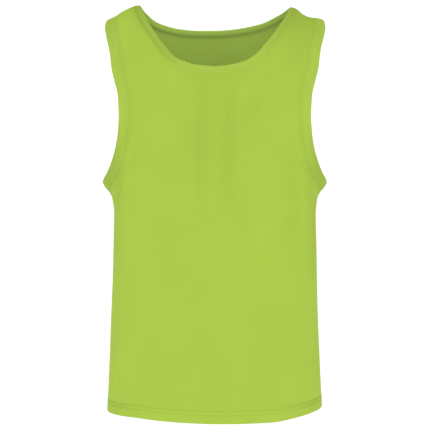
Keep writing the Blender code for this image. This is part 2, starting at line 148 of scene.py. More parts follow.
# Painted shade and painted light, as lines like the folds, with thousandths of the tone for
# heights, under 0 for painted shade and over 0 for painted light: on the straps, the armhole
# bindings, the chest, the underarms, the sides and the hem.
PAINTED_LIGHT_AND_SHADE = (
    (114, -68, 124, 56, 22, -75), (150, -100, 150, 50, 28, -35), (140, -32, 146, 52, 24, -100),
    (-152, -70, -152, 60, 14, 75), (-192, -345, -162, -170, 18, -165),
    (192, -345, 162, -170, 18, -190), (-171, -260, -165, -450, 24, -42),
    (173, -260, 167, -450, 15, -80), (-171, -75, -178, 10, 8.5, -55),
    (172, -70, 179, 5, 11, -45), (153, -125, 164, -30, 10, 45), (66, -95, 28, -185, 13, 24),
    (-52, -130, -22, -240, 12, 20), (-140, -500, -155, -700, 32, 26),
    (-150, -245, -142, -345, 15, -30), (10, -320, 30, -480, 40, -12),
    (-21, -30, -21, -310, 18, -18), (19, -30, 21, -310, 18, -18), (138, -10, 140, -110, 16, -25),
    (-158, -260, -158, -335, 6, -50), (-166, -262, -170, -325, 4.5, 40),
    (155, -254, 156, -338, 7, -62), (158, -320, 160, -460, 8, -30),
    (170, -270, 171, -335, 5, 55), (-143, -215, -143, -270, 6, 30),
    (140, -215, 140, -275, 6, 45), (-155, -132, -153, -230, 7, 58),
    (154, -132, 153, -218, 7, 50), (-146, -185, -144, -245, 6, -30),
    (142, -185, 142, -245, 6, -25),
)

# Painted shade on the neck binding, most where it climbs the straps, and a little painted light at
# the front centre. A quarter goes from the front centre to the left shoulder, to the back centre,
# to the right shoulder and round again.
NECK_LIGHT_AND_SHADE = (
    (0, 1.022), (0.38, 1.005), (0.5, 0.965), (0.62, 0.948), (0.85, 0.95), (1, 0.95), (1.4, 0.99),
    (1.7, 1), (2.4, 1), (2.7, 0.98), (3, 0.905), (3.2, 0.89), (3.45, 0.882), (3.6, 0.888),
    (3.72, 0.95), (3.85, 1.01), (4, 1.022),
)

# The hem in millimetres: up from its folded edge, and the heights of both faces over the form.
HEM_SECTION = (
    (0, -0.8, -1.1), (0.2, -0.2, -1.7), (0.6, 0.2, -2), (1.4, 0.4, -2.2), (3.5, 0.5, -2.3),
    (6.5, 0.5, -2.3), (9.5, 0.5, -2.3), (12, 0.5, -2.3), (13.4, 0.4, -2.2), (14.1, 0.3, -2.1),
    (14.6, 0.2, -2), (15.1, 0.3, -2.1), (15.8, 0.4, -2.2), (17.5, 0.5, -2.3), (19.1, 0.4, -2.2),
    (19.9, 0.2, -2), (20.4, 0, -1.9), (20.9, 0.1, -2), (21.4, 0.1, -2.1), (21.9, 0.1, -1.4),
    (23.5, 0, -1.2),
)
HEM_PLACES, HEM_OUTER, HEM_INNER = np.array(HEM_SECTION).T / 1000
HEM_TOP = HEM_PLACES[-1]
NEEDLE_ROWS = (0.0146, 0.0204)
# Painted shade along each needle row.
NEEDLE_PAINTED_SHADES = ((0.015, 0.115), (0.055, 0.125))  # of each row, at the middle and added at the ends
NEEDLE_REACH = 0.0012
ROLL_DEPTH, ROLL_BREADTH = 0.0001, 0.0011
# Painted light on the turned hem, less of it and then painted shade towards its ends.
HEM_PAINTED_LIGHT, HEM_ENDS_PAINTED_SHADE = 0.030, 0.076
HEM_ENDS = (0.50, 0.92)  # as shares of the half width
RIPPLE_TOP, RIPPLE_FADE = 0.020, 0.010
HEM_PHASES = {False: 1.7, True: 0.0}

# A binding's section in millimetres: how far from its seam or from its needle row, and how far
# below its top or above its underside.
SEAM_ROLL = ((0, 0.65), (0.4, 0.3), (0.9, 0.1), (1.6, 0))
NEEDLE_GROOVE = ((0.6, 0.05), (0, 0.2), (-0.6, 0.05))
TURNED_EDGE = ((0.8, 0.1), (0.2, 0.4), (0, 0.6))
NEEDLE_DEPTH = 0.0002
BINDING_UNDERSIDE = -0.0019
BINDING_BULGE, BINDING_WANDER = 0.00025, 0.00016
FOLD_LEAD = 1.3  # where the flat parts of a binding start, in radii of its folded edge
BINDING_RIB = 0.0022
PUCKER_PITCH = 0.0144

# The slow swells of hanging cloth: share, run and phase of each wave, and bend and run of the
# wave that bends it.
SWELLS = (
    (1.0, (41, 0, 13), 0.7, 2.0, (0, 9, 17)),
    (0.8, (67, 19, -9), 2.1, 1.6, (23, 0, 11)),
    (0.5, (0, 37, 23), 4.0, 1.4, (29, 0, 0)),
)
SWELL_LEVELS, SWELL_HEIGHTS = (-0.60, -0.30), (0.00060, 0.00022)

# Painted shade beside the seams: strength, and the middle and reach of the trough beside the seam.
# A strength under 0 makes the cloth paler there, as painted light.
SEAM_SHADE = (0.025, 0.0022, 0.0032)
ARMHOLE_SHADE = (0.030, 0.0018, 0.0042)
EDGE_SHADE = (-0.06, 0, 0.0009)
BINDING_EDGE_SHADE = (-0.06, 0, 0.0014)
INNER_SHADE = (0.28, 0, 0.0046)
STRAP_SHADE = (0.115, 0, 0.0025)
# The inner face of a binding: painted light all over, and painted shade towards its seam.
BINDING_INSIDE_PAINTED_LIGHT = 1.12
BINDING_INNER_SHADE, BINDING_INNER_REACH = 0.375, 0.375  # the reach is a share of the width
# The share of the strap seam's painted shade on the left strap, and how far into the binding it
# lies.
LEFT_STRAP, STRAP_SEAM = 0.15, 0.0013

# The heights or half widths between which the painted light and shade grow to their full strength,
# and the share that the folds keep low down.
CHEST, LOW_FOLD_LIGHT_AND_SHADE = (-0.50, -0.35), 0.35
STRAPS = (-0.085, -0.025)
SIDES = (0.130, 0.145)

# How finely the cloth is divided. The counts are for the first, coarse net.
NECK_STEPS = 8
STRAP_STEPS = 9
STRAP_COLUMNS = 7
CHEST_STEPS = 11
UNDERARM_DROPS = (0.007, 0.016, 0.028)
BODY_ROWS = 22
FINENESS = 5
COARSE_ROUNDS, FINE_ROUNDS = 400, 60  # of evening out
EDGE_SHARES = (0.12, 0.40)  # extra lines beside a seam, as shares of one step
FINE_STEPS = 2000
BODY_RADIUS = 0.14
SLOPE_STEPS = np.array([(0.020, 0), (0, 0.003)])  # of turn and of rise
MATERIAL_PLACE = "cloth_place"
MAP_RISE, MAP_TURN = -0.15, 0.45  # the lines along which that map of the cloth is measured

QUARTER = np.pi / 2
RIGHT, LEFT = -1, 1
NECK_CENTRE = np.array([0, 0, 0])
ARMHOLE_CENTRE = {side: np.array([side * 0.25, 0, -0.15]) for side in (RIGHT, LEFT)}
PANELS = {"front": False, "back": True}
WHITE = (1.0, 1.0, 1.0)


# ---------------------------------------------------------------- the form


def curve_of(xs, ys):
    """A smooth function through the rows of a table, which never swings past them."""
    widths = np.diff(xs)
    steps = np.diff(ys) / widths
    before, after = steps[:-1], steps[1:]
    both = before + after
    inner = np.where(before * after > 0, 2 * before * after / np.where(both == 0, 1, both), 0)
    slopes = np.concatenate([steps[:1], inner, steps[-1:]])

    def value(x):
        x = np.clip(x, xs[0], xs[-1])
        i = np.clip(np.searchsorted(xs, x) - 1, 0, len(steps) - 1)
        t = (x - xs[i]) / widths[i]
        rest = 1 - t
        ends = ys[i] * (1 + 2 * t) * rest**2 + ys[i + 1] * (3 - 2 * t) * t**2
        return ends + widths[i] * t * rest * (slopes[i] * rest - slopes[i + 1] * t)

    return value


def curves(table):
    """A smooth function of a table's first column for each of its others."""
    xs, *others = np.array(table).T
    return [curve_of(xs, ys) for ys in others]


half_width, shift, front_depth, back_depth, fullness = curves(RINGS)
right_shoulder, left_shoulder = curves(SHOULDER_LINE)
[armhole_width], [hem_lift], [neck_light_and_shade] = map(curves, (ARMHOLE, HEM_LINE, NECK_LIGHT_AND_SHADE))


def pair(first, second):
    return np.stack(np.broadcast_arrays(first, second), axis=-1)


def dot(first, second):
    return np.sum(first * second, axis=-1)


def unit(vectors):
    return vectors / np.linalg.norm(vectors, axis=-1, keepdims=True)


def ramp(value, start, end):
    """0 up to the start, 1 from the end on, and even between."""
    return np.clip((value - start) / (end - start), 0, 1)


def fading(distance, reach):
    """1 at no distance, and falling to 0 over reach."""
    return np.exp(-((distance / reach) ** 2))


def shaded(distance, strength, middle, reach, share=1.0):
    """The tone at a distance from a seam, with painted shade deepest at the middle of its trough,
    and painted light instead where the strength is under 0.
    """
    return 1 - share * strength * fading(distance - middle, reach)


def shoulder_height(x):
    return np.where(x > 0, left_shoulder(np.abs(x)), right_shoulder(np.abs(x)))


def smooth_form(place):
    """The form without its folds. Past the shoulder seam, rise comes down the other side."""
    turn, rise = place[..., 0], place[..., 1]
    over = rise > SHOULDER_RISE
    turn = np.where(over, np.pi - turn, turn)
    rise = np.where(over, 2 * SHOULDER_RISE - rise, rise)
    side, ahead = np.sin(turn), np.cos(turn)
    lean = np.maximum(rise, 0) / SHOULDER_RISE * QUARTER
    height = UNDERARM_HEIGHT + np.minimum(rise, 0)
    for _ in range(4):
        top = shoulder_height(half_width(height) * side + shift(height))
        climbed = UNDERARM_HEIGHT + (top - UNDERARM_HEIGHT) * np.sin(lean)
        height = np.where(rise > 0, climbed, height)
    depth = np.where(ahead > 0, front_depth(height), back_depth(height))
    depth = depth * (1 + fullness(height) * side**2) * np.cos(lean)
    return np.stack([half_width(height) * side + shift(height), -depth * ahead, height], axis=-1)


def facing(places, is_back):
    """Places counted from the middle of a panel, as places of the form."""
    turn = np.pi - places[..., 0] if is_back else places[..., 0]
    return pair(turn, places[..., 1])


def place_of(x, z, is_back):
    """The place that shows at (x, z) on the front or on the back."""
    turn = np.arcsin(np.clip((x - shift(z)) / half_width(z), -1, 1))
    share = (z - UNDERARM_HEIGHT) / (shoulder_height(x) - UNDERARM_HEIGHT)
    lean = np.arcsin(np.clip(share, 0, 1))
    rise = np.where(share > 0, lean / QUARTER * SHOULDER_RISE, z - UNDERARM_HEIGHT)
    return facing(pair(turn, rise), is_back)


def slopes_of(place):
    """How the form moves for a change of turn and of rise."""
    return [
        (smooth_form(place + step) - smooth_form(place - step)) / (2 * step.sum())
        for step in SLOPE_STEPS
    ]


def outward(place):
    return unit(np.cross(*slopes_of(place)))


def fold_height(points, folds):
    """How far some folds raise the cloth at points of the form."""
    total = np.zeros(points.shape[:-1])
    for from_x, from_z, to_x, to_z, half_breadth, height in np.array(folds) / 1000:
        run_x, run_z = to_x - from_x, to_z - from_z
        off_x, off_z = points[..., 0] - from_x, points[..., 2] - from_z
        length = np.hypot(run_x, run_z)
        share = np.clip((off_x * run_x + off_z * run_z) / length**2, 0, 1)
        across = (off_x * run_z - off_z * run_x) / length
        total += height * fading(across, half_breadth) * np.sin(np.pi * share)
    return total


def unevenness(points):
    """Slow, low swells that keep any stretch of hanging cloth from being perfectly even."""
    total = sum(
        share * np.sin(points @ run + phase + bend * np.sin(points @ stray))
        for share, run, phase, bend, stray in SWELLS
    )
    return total * np.interp(points[..., 2], SWELL_LEVELS, SWELL_HEIGHTS)


def swell(points):
    """How far folds, creases and swells raise the cloth at points of the form."""
    front, back = fold_height(points, FRONT_FOLDS), fold_height(points, BACK_FOLDS)
    return np.where(points[..., 1] < 0, front, back) + unevenness(points)


def cloth(place, lift):
    """Points of the cloth at a height over the form, on which its folds and creases ride."""
    points = smooth_form(place)
    return points + outward(place) * (swell(points) + lift)[..., None]


# ---------------------------------------------------------------- edges and nets of places


def travel_along(path):
    """How far along the form each place of a path lies from the first."""
    steps = np.diff(smooth_form(path), axis=0)
    return np.append(0, np.cumsum(np.linalg.norm(steps, axis=1)))


def evenly(path, count):
    """Places at even distances along a path of places, its ends among them."""
    travel = travel_along(path)
    wanted = np.linspace(0, travel[-1], count + 1)
    return pair(*(np.interp(wanted, travel, path[:, k]) for k in (0, 1)))


def neck_edge(is_back, side, fine):
    """Half of a neck edge, from its lowest point up to the shoulder seam."""
    neck = BACK_NECK if is_back else FRONT_NECK
    across, climbs = np.array(neck.line).T
    mirrored = np.append(-across[1], across), np.append(climbs[1], climbs)  # level at the middle
    out = NECK_HALF_WIDTH * np.sin(np.linspace(0, QUARTER, FINE_STEPS))
    climb = curve_of(*mirrored)(out)
    top = shoulder_height(side * NECK_HALF_WIDTH)
    height = neck.height + (top - neck.height) * climb
    path = place_of(side * out + neck.shift * (1 - climb), height, is_back)
    path[-1, 1] = SHOULDER_RISE
    return evenly(path, (NECK_STEPS + STRAP_STEPS) * fine)


def armhole_edge(is_back, side, fine):
    """Half of an armhole edge, from the underarm up to the shoulder seam."""
    top = shoulder_height(side * SHOULDER_HALF_WIDTH)
    share = np.sin(np.linspace(0, QUARTER, FINE_STEPS))
    height = UNDERARM_HEIGHT + (top - UNDERARM_HEIGHT) * share
    path = place_of(side * armhole_width(height) + shift(height), height, is_back)
    path[0] = (np.pi - side * QUARTER if is_back else side * QUARTER, 0)
    path[-1, 1] = SHOULDER_RISE
    return evenly(path, (CHEST_STEPS + STRAP_STEPS) * fine)


def joined(*paths):
    return np.concatenate([path[:-1] for path in paths])


def neck_loop(fine):
    """Round the neck from the front centre by way of the wearer's left."""
    return joined(
        neck_edge(False, LEFT, fine),
        neck_edge(True, LEFT, fine)[::-1],
        neck_edge(True, RIGHT, fine),
        neck_edge(False, RIGHT, fine)[::-1],
    )


def armhole_loop(side, fine):
    """Round an armhole from the underarm, up the front and down the back."""
    return joined(armhole_edge(False, side, fine), armhole_edge(True, side, fine)[::-1])


def moved(loop, distance, centre):
    """A loop of places moved within the cloth, away from the middle of its opening."""
    steps = 4
    distance = np.broadcast_to(distance, len(loop))[:, None]
    for _ in range(steps):
        points, slopes = smooth_form(loop), np.stack(slopes_of(loop), axis=-1)
        tangent = unit(np.roll(points, -1, axis=0) - np.roll(points, 1, axis=0))
        away = unit(np.cross(outward(loop), tangent))
        away *= np.sign(dot(away, points - centre))[:, None] * distance / steps
        slopes[np.isclose(loop[:, 1], SHOULDER_RISE), :, 1] = 0
        slopes[np.isclose(np.cos(loop[:, 0]), 0, atol=1e-7), :, 0] = 0
        loop = loop + (np.linalg.pinv(slopes) @ away[..., None])[..., 0]
    return loop


def stations(loop, start, step, count):
    """A stretch of a loop, with turns counted from the middle of the panel it borders."""
    found = loop[(start + step * np.arange(count + 1)) % len(loop)].copy()
    found[:, 0] = np.arcsin(np.sin(found[:, 0]))
    return found


Opening = namedtuple("Opening", "label edge width centre phase")


def bound_openings():
    """The neck and both armholes, each with the phase of its puckers."""
    openings = [Opening("neck", neck_loop(FINENESS), NECK_BINDING_WIDTH, NECK_CENTRE, 0.9)]
    for label, side, phase in (("right_armhole", RIGHT, 2.2), ("left_armhole", LEFT, 3.5)):
        edge, centre = armhole_loop(side, FINENESS), ARMHOLE_CENTRE[side]
        openings.append(Opening(label, edge, ARMHOLE_BINDING_WIDTH, centre, phase))
    return openings


def drawn_back(places, axis, is_back):
    """Places moved half a seam gap down (axis 1) or towards the panel's middle (axis 0)."""
    speed = np.linalg.norm(slopes_of(facing(places, is_back))[axis], axis=-1)
    change = SEAM_GAP / 2 / speed
    places = places.copy()
    places[..., axis] -= change if axis else change * np.sign(places[..., 0])
    return places


def hem_rise(side_share):
    """The hem edge's rise, where side_share is -1 and 1 at the wearer's right and left."""
    return HEM_HEIGHT + hem_lift(side_share) - UNDERARM_HEIGHT


def panel_side(side, is_back, fine):
    """A panel's side from the hem's top row up the side seam and along the armhole."""
    edge = armhole_loop(side, fine)
    seam = moved(edge, ARMHOLE_BINDING_WIDTH + SEAM_GAP, ARMHOLE_CENTRE[side])
    armhole = stations(seam, 0, -1 if is_back else 1, (CHEST_STEPS + STRAP_STEPS) * fine)
    top = armhole[0, 1]
    rises = np.linspace(hem_rise(side) + HEM_TOP, top - UNDERARM_DROPS[-1], BODY_ROWS + 1)
    rises = np.concatenate([rises, top - np.array(UNDERARM_DROPS[-2::-1]), [top]])
    count = (len(rises) - 1) * fine
    rises = np.interp(np.arange(count) / fine, np.arange(len(rises)), rises)
    armhole[:1] = drawn_back(armhole[:1], 0, is_back)
    armhole[-1:] = drawn_back(armhole[-1:], 1, is_back)
    return np.concatenate([drawn_back(pair(side * QUARTER, rises), 0, is_back), armhole])


def panel_neck(side, is_back, fine):
    """Half of a panel's neck seam, from its middle up to the shoulder seam."""
    seam = moved(neck_loop(fine), NECK_BINDING_WIDTH + SEAM_GAP, NECK_CENTRE)
    half = (NECK_STEPS + STRAP_STEPS) * fine
    start, step = (2 * half, -side) if is_back else (0, side)
    found = stations(seam, start, step, half)
    found[-1:] = drawn_back(found[-1:], 1, is_back)
    return found


def between(first, last, share):
    return first + (last - first) * np.asarray(share)[..., None]


def relaxed(places, rounds):
    """A net of places whose inner lines are evened, so that they bend round curved edges."""
    flat = places * (BODY_RADIUS, 1)
    for _ in range(rounds):
        along = (flat[1:-1, 2:] - flat[1:-1, :-2]) / 2
        up = (flat[2:, 1:-1] - flat[:-2, 1:-1]) / 2
        twist = (flat[2:, 2:] - flat[2:, :-2] - flat[:-2, 2:] + flat[:-2, :-2]) / 4
        a, b, c = (dot(*both)[..., None] for both in ((up, up), (along, up), (along, along)))
        beside = flat[1:-1, 2:] + flat[1:-1, :-2]
        over = flat[2:, 1:-1] + flat[:-2, 1:-1]
        flat[1:-1, 1:-1] = (a * beside + c * over - 2 * b * twist) / (2 * (a + c))
    return flat / (BODY_RADIUS, 1)


def read_at(net, rows, columns):
    """A net of places read at fractional row and column numbers."""
    row = np.minimum(rows.astype(int), len(net) - 2)
    col = np.minimum(columns.astype(int), net.shape[1] - 2)
    right = (columns - col)[None, :]
    low, high = (between(net[k][:, col], net[k][:, col + 1], right) for k in (row, row + 1))
    return between(low, high, (rows - row)[:, None])


def body_net(is_back, fine):
    """The part of a panel below its neck and straps, with both of its sides and neck seams."""
    sides = {side: panel_side(side, is_back, fine) for side in (RIGHT, LEFT)}
    necks = {side: panel_neck(side, is_back, fine) for side in (RIGHT, LEFT)}
    strap, neck = STRAP_STEPS * fine, NECK_STEPS * fine
    across = np.linspace(0, 1, STRAP_COLUMNS * fine + 1)
    tops = {side: between(sides[side][-strap - 1], necks[side][neck], across) for side in sides}
    below_neck = [necks[RIGHT][neck - 1 :: -1], necks[LEFT][1:neck]]
    top = np.concatenate([tops[RIGHT], *below_neck, tops[LEFT][::-1]])
    right, left = (sides[side][:-strap] for side in (RIGHT, LEFT))
    across = np.linspace(0, 1, len(top))[None, :]
    up = (right[:, 1] + left[:, 1]) / 2
    up = ((up - up[0]) / (up[-1] - up[0]))[:, None]
    bottom = between(right[0], left[0], across[0])
    bottom[:, 1] = hem_rise(np.sin(bottom[:, 0])) + HEM_TOP
    net = between(bottom[None], top[None], up) + between(right[:, None], left[:, None], across)
    net -= between(between(bottom[:1], bottom[-1:], across), between(top[:1], top[-1:], across), up)
    return net, sides, necks


def panel_net(is_back):
    """Rows of places from the hem up, and which cells of it are cloth."""
    coarse = relaxed(body_net(is_back, 1)[0], COARSE_ROUNDS)
    body, sides, necks = body_net(is_back, FINENESS)
    rows, columns = (np.arange(size) / FINENESS for size in body.shape[:2])
    body[1:-1, 1:-1] = read_at(coarse, rows, columns)[1:-1, 1:-1]
    body = relaxed(body, FINE_ROUNDS)
    strap, width = STRAP_STEPS * FINENESS, STRAP_COLUMNS * FINENESS
    across = np.linspace(0, 1, width + 1)
    right, left = (
        between(sides[side][-strap:, None], necks[side][-strap:, None], across)
        for side in (RIGHT, LEFT)
    )
    spare = np.zeros((strap, body.shape[1] - 2 * (width + 1), 2))
    net = np.concatenate([body, np.concatenate([right, spare, left[:, ::-1]], axis=1)])
    neck_row, last_row, last_column = len(body) - 1, len(net) - 1, net.shape[1] - 1
    left_strap = last_column - width
    ways = {0: 1, width: -1, left_strap: 1, last_column: -1}
    columns = [line + way * share for line, way in ways.items() for share in EDGE_SHARES]
    columns = np.sort(np.concatenate([np.arange(last_column + 1), columns]))
    rows = [line - share for line in (neck_row, last_row) for share in EDGE_SHARES]
    rows = np.sort(np.concatenate([np.arange(last_row + 1), rows]))
    net = read_at(net, rows, columns)
    hem = np.repeat(net[:1], len(HEM_PLACES) - 1, axis=0)
    hem[..., 1] -= HEM_TOP - HEM_PLACES[:-1, None]
    rows = np.concatenate([np.arange(len(hem)) - len(hem), rows])
    on_strap = (columns[:-1] < width) | (columns[:-1] >= left_strap)
    is_cloth = (rows[:-1, None] < neck_row) | on_strap[None, :]
    return facing(np.concatenate([hem, net]), is_back), is_cloth


def flat_places(places):
    """Places as (across, up) in metres of flat cloth, for the patterns of the knit."""
    turns = np.linspace(-QUARTER, QUARTER, 400)
    rises = np.linspace(HEM_HEIGHT - UNDERARM_HEIGHT, SHOULDER_RISE, 600)
    turn, rise = np.arcsin(np.sin(places[..., 0])), places[..., 1]
    rise = np.where(rise > SHOULDER_RISE, 2 * SHOULDER_RISE - rise, rise)
    across = np.interp(turn, turns, travel_along(pair(turns, MAP_RISE)))
    return pair(across, np.interp(rise, rises, travel_along(pair(MAP_TURN, rises))))


# ---------------------------------------------------------------- meshes


def put(name, data, place=(0, 0, 0), aim=None):
    """A new object in the scene, which looks at aim if that is given."""
    obj = bpy.data.objects.new(name, data)
    obj.location = place
    if aim is not None:
        obj.rotation_euler = (aim - obj.location).to_track_quat("-Z", "Y").to_euler()
    bpy.context.scene.collection.objects.link(obj)
    return obj


def make_object(name, points, faces, flat, masks, material, around=0.0):
    """A smooth mesh object with its masks and a map of its flat cloth.

    For a ring, around is how far that map goes round it, so that no cell is mapped back to 0.
    """
    a, b, c, d = (points[faces[:, k]] for k in range(4))
    if np.sum(np.cross(a, b) * c + np.cross(a, c) * d) < 0:
        faces = faces[:, ::-1]
    used, faces = np.unique(faces, return_inverse=True)
    faces = faces.reshape(-1, 4)
    data = bpy.data.meshes.new(name)
    data.from_pydata(points[used].tolist(), [], faces.tolist())
    corners = flat[used][faces]
    if around:
        is_past_join = corners[..., 0] < corners[..., 0].max(axis=1, keepdims=True) - around / 2
        corners[..., 0] += around * is_past_join
    layer = data.uv_layers.new(name=MATERIAL_PLACE)
    layer.data.foreach_set("uv", corners.astype(np.float32).ravel())
    # The tone mask carries the painted light and shade; the inside mask marks the inner face.
    for label, values in zip(("tone", "inside"), masks):
        mask = data.attributes.new(label, "FLOAT", "POINT")
        mask.data.foreach_set("value", values[used].astype(np.float32))
    data.shade_smooth()
    data.materials.append(material)
    data.validate()
    data.update()
    return put(name, data)


def net_cells(rows, columns):
    """The cells of a net that is closed both ways, as the numbers of their points."""
    line = np.arange(rows * columns).reshape(rows, columns)
    after, beside = np.roll(line, -1, axis=1), np.roll(line, -1, axis=0)
    return np.stack([line, after, np.roll(after, -1, axis=0), beside], axis=-1)


def border_edges(cells):
    """The edges that only one cell has."""
    ends = np.concatenate([cells[:, [k, (k + 1) % 4]] for k in range(4)])
    key = np.sort(ends, axis=1)
    _, index, uses = np.unique(key, axis=0, return_inverse=True, return_counts=True)
    return ends[uses[index.ravel()] == 1]


def shell_faces(cells, count):
    """Outer and inner cells of a wall, and the rim that joins them round every open edge."""
    first, last = border_edges(cells).T
    rim = np.stack([last, first, first + count, last + count], axis=-1)
    return np.concatenate([cells, cells[:, ::-1] + count, rim])


def distance_to(points, edges):
    """How far each point lies from the nearest edge point."""
    tree = kdtree.KDTree(len(edges))
    for i, point in enumerate(edges):
        tree.insert(point, i)
    tree.balance()
    return np.array([tree.find(point)[2] for point in points])


def painted_light_and_shade_of(points, settings):
    """The cloth's painted light and shade: painted shade in troughs and painted light on ridges,
    painted shade and light at the listed places, and painted shade along the neck seam at the
    straps.
    """
    x, z = points[:, 0], points[:, 2]
    fold_tone = settings.fold_tone * (LOW_FOLD_LIGHT_AND_SHADE + (1 - LOW_FOLD_LIGHT_AND_SHADE) * ramp(z, *CHEST))
    tone = (1 + fold_tone * swell(points)) * (1 + fold_height(points, PAINTED_LIGHT_AND_SHADE))
    seam = cloth(moved(neck_loop(FINENESS), NECK_BINDING_WIDTH - STRAP_SEAM, NECK_CENTRE), 0.0)
    on_strap = ramp(z, *STRAPS) * np.where(x < 0, 1.0, LEFT_STRAP)
    return tone * shaded(distance_to(points, seam), *STRAP_SHADE, on_strap)


def hem_light_and_shade(height, side_share):
    """The hem's painted light and shade: painted light on the turned hem with painted shade at its
    ends, and painted shade along its needle rows, most towards the side seams.
    """
    ends = ramp(np.abs(side_share), *HEM_ENDS) ** 1.5
    needle_shade = sum(
        fading(height - row, NEEDLE_REACH) * (middle + more * ends)
        for row, (middle, more) in zip(NEEDLE_ROWS, NEEDLE_PAINTED_SHADES)
    )
    is_turned = height < NEEDLE_ROWS[1] + NEEDLE_REACH * 2 / 3
    turned = np.where(is_turned, HEM_PAINTED_LIGHT - HEM_ENDS_PAINTED_SHADE * ends, 0.0)
    return 1 + turned - needle_shade


def hem_ripple(travel, is_back, settings):
    """The small uneven ripple that the stitched hem takes along its travel."""
    phase = HEM_PHASES[is_back]
    ripple = np.sin(travel / 0.0023 + 2.2 * np.sin(travel / 0.021 + phase) + phase)
    ripple += 0.6 * np.sin(travel / 0.0041 + 1.5 * np.sin(travel / 0.033 + 2 * phase))
    return settings.hem_ripple * ripple * (0.65 + 0.35 * np.sin(travel / 0.057 + phase))


def sew_panel(name, is_back, settings, material):
    """A front or back of the bib with its turned hem, edges rolled into their seams."""
    places, is_cloth = panel_net(is_back)
    rows, columns = places.shape[:2]
    cells = net_cells(rows, columns)[:-1, :-1][is_cloth]
    border = np.unique(border_edges(cells))
    base = smooth_form(places).reshape(-1, 3)
    distance = distance_to(base, base[border[border >= columns]]).reshape(rows, columns)
    flat, side_share = flat_places(places), np.sin(places[..., 0])
    height = places[..., 1] - hem_rise(side_share)
    lifts = np.stack([np.zeros((rows, columns)), np.full((rows, columns), -settings.wall)])
    lifts[:, : len(HEM_PLACES)] = np.stack([HEM_OUTER, HEM_INNER])[..., None]
    lifts -= ROLL_DEPTH * fading(distance, ROLL_BREADTH)
    near_hem = fading(np.maximum(height - RIPPLE_TOP, 0), RIPPLE_FADE)
    lifts += near_hem * hem_ripple(flat[..., 0], is_back, settings)
    points = [cloth(places, lift).reshape(-1, 3) for lift in lifts]
    # Painted light and shade of the panel: along the hem, beside the seams and at the very edges,
    # and painted shade beside the seams on the inner face.
    on_side = ramp(np.abs(base[:, 0]), *SIDES).reshape(rows, columns)
    outer = hem_light_and_shade(height, side_share) * shaded(distance, *SEAM_SHADE)
    outer *= shaded(distance, *ARMHOLE_SHADE, on_side) * shaded(distance, *EDGE_SHADE)
    tones = np.stack([outer, shaded(distance, *INNER_SHADE)]).reshape(2, -1)
    masks = (painted_light_and_shade_of(base, settings) * tones).ravel(), np.repeat([0.0, 1.0], rows * columns)
    faces = shell_faces(cells, rows * columns)
    flat = np.tile(flat.reshape(-1, 2), (2, 1))
    return make_object(name, np.concatenate(points), faces, flat, masks, material)


def binding_section(width, settings):
    """Round a folded strip, as (distance from its folded edge, height over the form)."""
    top, bottom = settings.binding_lift, BINDING_UNDERSIDE
    middle, radius = (top + bottom) / 2, (top - bottom) / 2
    needle = width - settings.binding_needle
    section = [(width - off / 1000, top - below / 1000) for off, below in SEAM_ROLL]
    section += [(needle + off / 1000, top - below / 1000) for off, below in NEEDLE_GROOVE]
    bulge = np.sin(np.linspace(0, np.pi, 9))[1:-1] * BINDING_BULGE
    run = np.linspace(needle - 0.0018, radius * FOLD_LEAD, len(bulge))
    section += list(zip(run, top + bulge))
    for lean in np.linspace(QUARTER, -QUARTER, 9):
        section.append((radius - radius * np.cos(lean), middle + radius * np.sin(lean)))
    flat_end = width - SEAM_ROLL[-1][0] / 1000
    section += [(place, bottom) for place in np.linspace(radius * FOLD_LEAD, flat_end, 8)]
    section += [(width - off / 1000, bottom + above / 1000) for off, above in TURNED_EDGE]
    return np.array(section)


def round_turns(loop):
    """How far round a closed loop each of its places lies, in radians, and the loop's length."""
    travel = travel_along(np.concatenate([loop, loop[:1]]))
    return 2 * np.pi * travel[:-1] / travel[-1], travel[-1]


def puckers(opening, share, settings):
    """The raised and drawn places along a binding, at a share of its width from the edge."""
    turns, length = round_turns(opening.edge)
    pucker = np.sin(round(length / PUCKER_PITCH) * turns + 1.7 * np.sin(23 * turns + opening.phase))
    pucker *= 0.7 + 0.3 * np.sin(7 * turns + opening.phase)
    return settings.pucker * (0.25 + 0.75 * np.sin(np.pi * np.clip(share, 0, 1))) * pucker


def turn_binding(opening, settings, material):
    """A ring of folded cloth from the opening's edge to its seam."""
    edge, width = opening.edge, opening.width
    section = binding_section(width, settings)
    rings, count = len(section), len(edge)
    turns, length = round_turns(edge)
    length = BINDING_RIB * round(length / BINDING_RIB)
    wander = BINDING_WANDER * (np.sin(11 * turns + opening.phase) + np.sin(19 * turns))
    lines = []
    for place, lift in section:
        share = place / width
        loop = moved(edge, place + wander * (1 - share) ** 2, opening.centre)
        lines.append(cloth(loop, lift + puckers(opening, share, settings)))
    points = np.concatenate(lines)
    flat = pair(np.tile(length * turns / (2 * np.pi), rings), np.repeat(section[:, 0], count))
    # Painted light on a binding's inner face with painted shade towards its seam, painted light on
    # its outer face by the seam, and at the neck painted shade at the shoulders.
    from_seam, heights = section[:, 0] - width, section[:, 1]
    is_inner = heights < (heights.max() + heights.min()) / 2
    inner = BINDING_INSIDE_PAINTED_LIGHT * shaded(from_seam, BINDING_INNER_SHADE, 0, BINDING_INNER_REACH * width)
    shade = np.where(is_inner, inner, shaded(from_seam, *BINDING_EDGE_SHADE))
    tone = np.repeat(shade, count) * painted_light_and_shade_of(points, settings)
    if opening.label == "neck":
        tone *= np.tile(neck_light_and_shade(4 * np.arange(count) / count), rings)
    masks = tone, np.repeat(is_inner.astype(float), count)
    cells = net_cells(rings, count).reshape(-1, 4)
    name = f"{opening.label}_binding"
    return make_object(name, points, cells, flat, masks, material, length)


# ---------------------------------------------------------------- nodes


def fill(tree, sockets, values):
    """Set sockets by name or number. One whose value is a socket itself is linked to it."""
    for key, value in dict(values).items():
        if isinstance(value, bpy.types.NodeSocket):
            tree.links.new(value, sockets[key])
        else:
            sockets[key].default_value = value


